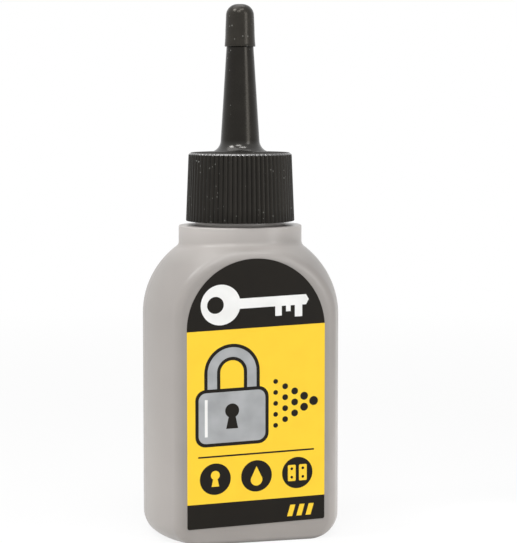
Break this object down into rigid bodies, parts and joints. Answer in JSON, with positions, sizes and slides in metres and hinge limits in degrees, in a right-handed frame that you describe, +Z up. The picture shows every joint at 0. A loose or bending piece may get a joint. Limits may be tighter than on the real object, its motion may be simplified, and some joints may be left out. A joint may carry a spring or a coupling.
{
  "type": "powder lubricant squeeze bottle",
  "caption": "Flat-sided squeeze bottle of dry graphite lock lubricant with arched shoulders, a ribbed screw cap moulded with a long tapered nozzle, and a push-on tip cap.",
  "frame": {"origin": "centre of the standing rim, on the surface that the bottle stands on", "axes": "+Z up along the nozzle, +X to the right across the wide front, -Y out of the front label"},
  "size_m": [0.0412, 0.0274, 0.1119],
  "materials": {
    "bottle_plastic": "satin",
    "graphite": "matte",
    "label_film": "satin",
    "back_label_film": "satin",
    "seal_foam": "matte",
    "cap_plastic": "satin",
    "tip_plastic": "satin"
  },
  "bodies": {
    "bottle": {"bottle": "bottle_plastic", "graphite_powder": "graphite", "front_label": "label_film", "back_label": "back_label_film"},
    "seal_washer": {"seal_washer": "seal_foam"},
    "nozzle_cap": {"nozzle_cap": "cap_plastic"},
    "tip_cap": {"tip_cap": "tip_plastic"}
  },
  "joints": [
    {"name": "cap_lift", "type": "slide", "parent": "bottle", "child": "seal_washer", "axis": [0, 0, 1], "range_m": [0, 0.00476]},
    {"name": "cap_turn", "type": "hinge", "parent": "seal_washer", "child": "nozzle_cap", "pos_m": [0, 0, 0.0664], "axis": [0, 0, 1], "range_deg": [0, 540]},
    {"name": "tip_cap_pull", "type": "slide", "parent": "nozzle_cap", "child": "tip_cap", "axis": [0, 0, 1], "range_m": [0, 0.015]}
  ],
  "couplings": [
    {"joint": "cap_turn", "follows": "cap_lift", "rad_per_m": 1979}
  ]
}
